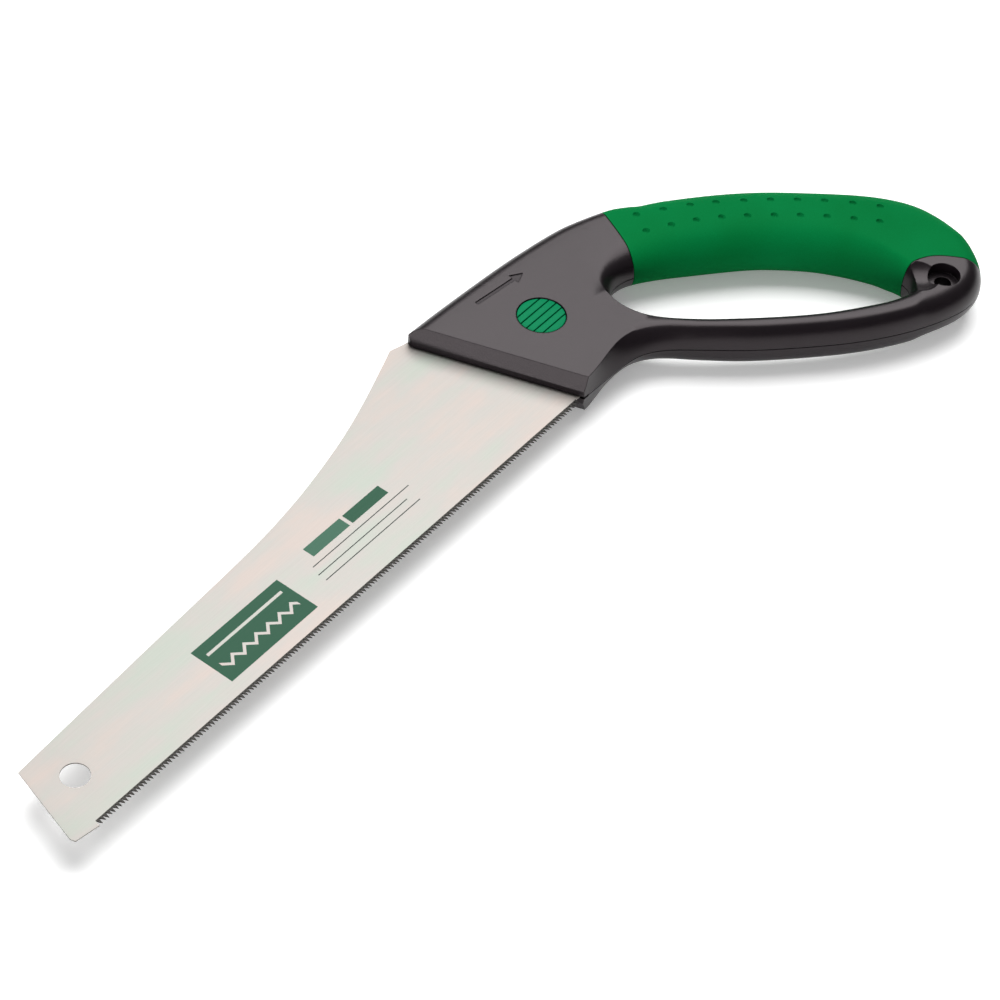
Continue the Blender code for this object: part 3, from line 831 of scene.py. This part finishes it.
combine(shells, dishes(shells))
for side in (1, -1):
    rebate = bore(HANG_REBATE, *sorted((side * HANG_FLOOR, side * PAST)))
    combine(shells, turned_solid([(HANG_HOLE, rebate)]))
combine(shells, turned_solid([(HANG_HOLE, bore(HANG_RADIUS, -PAST, PAST))]))

# %% Room for the tang
TANG_CLEAR = 0.5


def tang_pocket():
    """Plan of the room for the tang, open at the nose and at the corner where the teeth come out."""
    foot = [(x + TANG_CLEAR, y - TANG_CLEAR) for x, y in TANG_FOOT[:3]]
    top = [(x + TANG_CLEAR, y + TANG_CLEAR) for x, y in TANG[::-1] + BLADE_HEEL[::-1]]
    return [(225, -6), (259.4, -6), (259.4, 0.0)] + foot[::-1] + top + [(225, top[-1][1])]


POCKET_HALF = BLADE_HALF + 0.25
combine(shells, prism(tang_pocket(), -POCKET_HALF, POCKET_HALF))

# %% Room for the button, the latch and the screws
BAY_HALF, BAY_DEEP, BAY_ROOT = 5.2, 3.9, 3.5
FLANGE_ROOM, FLANGE_TRAVEL_LOW = 0.5, -2
SHANK_ROOM_HIGH = 6.0
LATCH_ROOM_LOW = -6.8


def latch_bay():
    """A deep bay where the leaf bends, and a shallow seat for it under its screws."""
    side = (BUTTON[1] - BAY_HALF, BUTTON[1] + BAY_HALF)
    root = LATCH_SCREWS[0][0] - BAY_ROOT
    combine(shells, prism(rectangle((LEAF_FRONT - 1, root), side), LEAF_LOW - BAY_DEEP, 1))
    combine(shells, prism(rectangle((root - 1, LEAF_REAR + 1), side), LEAF_LOW - GAP, 1))


latch_bay()
flange_hole = BUTTON_FLANGE + FLANGE_ROOM
button_room = [(0, FLANGE_TRAVEL_LOW), (flange_hole, FLANGE_TRAVEL_LOW), (flange_hole, FLANGE_HIGH + GAP),
               (BUTTON_HOLE, FLANGE_HIGH + GAP), (BUTTON_HOLE, PAST), (0, PAST)]
combine(shells, turned_solid([(BUTTON, button_room)], sides=64))
screw_room = [(0, -PAST), (HEAD_RADIUS + GAP, -PAST), (HEAD_RADIUS + GAP, -HEAD_DEEP),
              (SHANK_RADIUS + GAP, -HEAD_DEEP), (SHANK_RADIUS + GAP, SHANK_ROOM_HIGH), (0, SHANK_ROOM_HIGH)]
combine(shells, turned_solid([(centre, screw_room) for centre in SHELL_SCREWS]))
latch_room = bore(LATCH_SHANK + GAP, LATCH_ROOM_LOW, 0)
combine(shells, turned_solid([(centre, latch_room) for centre in LATCH_SCREWS], sides=16))

# %% Arrow that shows the cutting stroke
ARROW_START, ARROW_END = Vector((262.5, 54.3)), Vector((287.0, 51.7))
ARROW_WIDTH, ARROW_HEAD, ARROW_DEPTH = 1.4, 5.0, 0.4


def arrow_outline():
    along = (ARROW_END - ARROW_START).normalized()
    across = Vector((-along.y, along.x))
    neck = ARROW_END - along * ARROW_HEAD
    wide, thin = ARROW_HEAD * 0.5, ARROW_WIDTH / 2
    points = [ARROW_START - across * thin, neck - across * thin, neck - across * wide, ARROW_END]
    return points + [neck + across * wide, neck + across * thin, ARROW_START + across * thin]


combine(shells, prism(arrow_outline(), HEAD_HALF - ARROW_DEPTH, PAST))


# %% Part the shells
def part_shell(name, side):
    """Keeps one side of the form, closed with a flat joint face half a gap from the middle plane."""
    bm = bmesh.new()
    bm.from_mesh(shells.data)
    geometry = bm.verts[:] + bm.edges[:] + bm.faces[:]
    cut = bmesh.ops.bisect_plane(bm, geom=geometry, plane_co=(0, 0, side * GAP / 2), plane_no=(0, 0, -side),
                                 clear_outer=True)
    edges = [e for e in cut["geom_cut"] if isinstance(e, bmesh.types.BMEdge)]
    bmesh.ops.triangle_fill(bm, edges=edges, use_beauty=True)
    return make_mesh(name, bm)


def grain_the_nose(obj):
    """Gives the bevels of the nose and the floor of the arrow the coarser finish."""
    arrow_floor = saw_zero.z + (HEAD_HALF - ARROW_DEPTH) * MM
    rise = HEAD_HALF - NOSE_LIP
    slope = Vector((-nose_inward.x * rise, -nose_inward.y * rise, NOSE_BEVEL)).normalized()
    for face in obj.data.polygons:
        up = Vector((face.normal.x, face.normal.y, abs(face.normal.z)))
        on_floor = up.z > 0.999 and abs(face.center.z - arrow_floor) < 0.05 * MM
        if up.dot(slope) > 0.999 or on_floor:
            face.material_index = 1


for name, side in (("upper", 1), ("lower", -1)):
    half = part_shell(f"{name}_half_shell", side)
    finish_piece(half, "handle", f"{name}_shell", [ABS, ABS_COARSE])
    grain_the_nose(half)
bpy.data.objects.remove(shells)

# %% [markdown]
# ## Release button
# The cap is moulded in one piece with the flange that keeps it in and the stem that reaches the latch. It
# is turned from a profile, and bars that narrow towards their floor are taken out of its top to leave the
# ribs, which run along the saw so that the thumb feels which way the blade goes.

# %% Cap, flange, stem and ribs
GROOVES, GROOVE_PITCH, GROOVE_WIDTH, GROOVE_DEPTH = 5, 3.0, 0.8, 0.9
GROOVE_LENGTH, GROOVE_FLOOR = 24, 0.45


def make_button():
    """The turned button, less the grooves. GROOVE_FLOOR is the floor's share of a groove's width."""
    soft = 0.4
    profile = [
        (0, LEAF_HIGH + GAP), (BUTTON_STEM, LEAF_HIGH + GAP), (BUTTON_STEM, FLANGE_LOW),
        (BUTTON_FLANGE, FLANGE_LOW), (BUTTON_FLANGE, FLANGE_HIGH), (BUTTON_RADIUS, FLANGE_HIGH),
        (BUTTON_RADIUS, BUTTON_TOP - soft), (BUTTON_RADIUS - 0.12, BUTTON_TOP - 0.12),
        (BUTTON_RADIUS - soft, BUTTON_TOP), (0, BUTTON_TOP),
    ]
    button = turned_solid([(BUTTON, profile)], "push_button", 96)
    bm = bmesh.new()
    for k in range(GROOVES):
        y = BUTTON[1] + (k - (GROOVES - 1) / 2) * GROOVE_PITCH
        place = Matrix.Translation((BUTTON[0], y, BUTTON_TOP))
        shape = Matrix.Diagonal((GROOVE_LENGTH, GROOVE_WIDTH, 2 * GROOVE_DEPTH, 1))
        groove = bmesh.ops.create_cube(bm, size=1, matrix=place @ shape)["verts"]
        low = [v for v in groove if v.co.z < BUTTON_TOP]
        bmesh.ops.scale(bm, vec=(1, GROOVE_FLOOR, 1), verts=low, space=Matrix.Translation((0, -y, 0)))
    combine(button, make_mesh("grooves", bm))
    finish_piece(button, "button", "release_button", [NYLON])


make_button()

# %% [markdown]
# ## Shell screws
# Four zinc-plated screws close the handle from the side away from the button. Each is turned from a
# profile with a domed head, and a cross of two straight bars cuts the recess for the driver.

# %% Screws with cross recesses
HEAD_HIGH, HEAD_RIM = 1.9, 0.5
SHANK_END, POINT_END = 4.4, 5.5
CROSS_ARM, CROSS_WIDTH, CROSS_DEEP = 3.3, 0.8, 1.3


def make_screw(number, centre):
    """One shell screw, its head down, with the cross of its recess turned a little."""
    shoulder, end = -HEAD_DEEP - GAP, -HEAD_DEEP - GAP - HEAD_HIGH
    dome = [(HEAD_RADIUS * math.sin(a), shoulder - HEAD_RIM - (HEAD_HIGH - HEAD_RIM) * math.cos(a))
            for a in (math.radians(d) for d in (0, 18, 36, 54, 72, 90))]
    profile = dome + [(HEAD_RADIUS, shoulder), (SHANK_RADIUS, shoulder), (SHANK_RADIUS, SHANK_END),
                      (SHANK_RADIUS * 0.4, POINT_END), (0, POINT_END)]
    screw = turned_solid([(centre, profile)], f"handle_screw_{number}", 32)
    for turn in (0.4, 0.4 + math.pi / 2):
        bm = bmesh.new()
        place = Matrix.Translation((*centre, end)) @ Matrix.Rotation(turn, 4, "Z")
        shape = Matrix.Diagonal((CROSS_ARM, CROSS_WIDTH, 2 * CROSS_DEEP, 1))
        bmesh.ops.create_cube(bm, size=1, matrix=place @ shape)
        combine(screw, make_mesh("cross", bm))
    finish_piece(screw, "handle", f"shell_screw_{number}", [ZINC])


for number, centre in enumerate(SHELL_SCREWS, 1):
    make_screw(number, centre)

# %% [markdown]
# ## Table, camera and light
# The saw lies with the lowest line of its grip on a white board that is lit a little from behind, and the
# blade stays level a little above it. The light is a dim white room with one large soft box overhead,
# towards the back and the right: its reflection falls on the faces that lie flat, which is why the blade
# and the head's face look light and the walls look dark. A smaller box on the left lights the bevel of
# the nose.

# %% Table
TABLE_SIZE = 6.0
BOARD_GLOW = 0.22


def make_table():
    bm = bmesh.new()
    bmesh.ops.create_grid(bm, x_segments=2, y_segments=2, size=TABLE_SIZE / 2,
                          matrix=Matrix.Translation((0, 0, cad_box[0][2])))
    mesh = bpy.data.meshes.new("table")
    bm.to_mesh(mesh)
    bm.free()
    table = bpy.data.objects.new("table", mesh)
    bpy.context.scene.collection.objects.link(table)
    finish, tree, shader = new_finish("backlit_white_board", 0.9, IOR=1.3)
    shader.inputs["Base Color"].default_value = linear("#FBFBFB")
    shader.inputs["Emission Color"].default_value = linear("#FFFFFF")
    shader.inputs["Emission Strength"].default_value = BOARD_GLOW
    mesh.materials.append(finish)
    print("table at", round(cad_box[0][2] / MM, 2), "mm")


make_table()

# %% Camera
def set_camera():
    """A long lens. Its place is in the drawing, and its axes are made square to each other."""
    data = bpy.data.cameras.new("camera")
    data.sensor_width = 36.0
    data.lens = 117.33
    data.clip_start, data.clip_end = 0.05, 50.0
    camera = bpy.data.objects.new("camera", data)
    bpy.context.scene.collection.objects.link(camera)
    camera.location = TO_MODEL @ Vector((-454.9, -448.9, 835.6))
    back = Vector((-0.5679, -0.3834, 0.7284)).normalized()
    right = Vector((0.6157, -0.7851, 0.0669))
    right = (right - back * right.dot(back)).normalized()
    axes = Matrix((right, back.cross(right), back)).transposed()
    camera.rotation_euler = axes.to_euler()
    bpy.context.scene.camera = camera


set_camera()

# %% Light
def soft_box(name, toward, distance, size, watts):
    """An area light that faces the saw from a direction."""
    data = bpy.data.lights.new(name, "AREA")
    data.shape = "RECTANGLE"
    data.size, data.size_y = size
    data.energy = watts
    lamp = bpy.data.objects.new(name, data)
    bpy.context.scene.collection.objects.link(lamp)
    lamp.location = Vector(toward).normalized() * distance
    lamp.rotation_euler = Vector(toward).to_track_quat("Z", "Y").to_euler()


def light_room(ceiling, walls, backdrop):
    """A room with a dim ceiling and dark walls, which the camera sees as an even white backdrop."""
    world = bpy.data.worlds.new("studio_room")
    world.use_nodes = True
    tree = world.node_tree
    direction = add(tree, "TexCoord").outputs["Generated"]
    height = add(tree, "SeparateXYZ", Vector=direction).outputs[2]
    glow = add(tree, "MapRange", {"interpolation_type": "SMOOTHSTEP"}, Value=height,
               From_Min=0.15, From_Max=0.6, To_Min=walls, To_Max=ceiling).outputs[0]
    seen = add(tree, "LightPath").outputs["Is Camera Ray"]
    strength = add(tree, "Mix", {"data_type": "FLOAT"}, i0=seen, i2=glow, i3=backdrop).outputs[0]
    tree.links.new(strength, tree.nodes["Background"].inputs["Strength"])
    tree.nodes["Background"].inputs["Color"].default_value = (1, 1, 1, 1)
    bpy.context.scene.world = world


light_room(ceiling=0.22, walls=0.01, backdrop=1.0)
soft_box("key_box", (0.43, 0.30, 0.85), 1.6, (1.6, 1.5), 40)
soft_box("left_box", (-0.97, -0.15, 0.2), 1.5, (1.0, 0.5), 21)
bpy.context.scene.view_settings.view_transform = "Standard"

# %% [markdown]
# ## Last update
# The view layer is updated once more, so that every piece stands where it was put.

# %% Update the scene
bpy.context.view_layer.update()
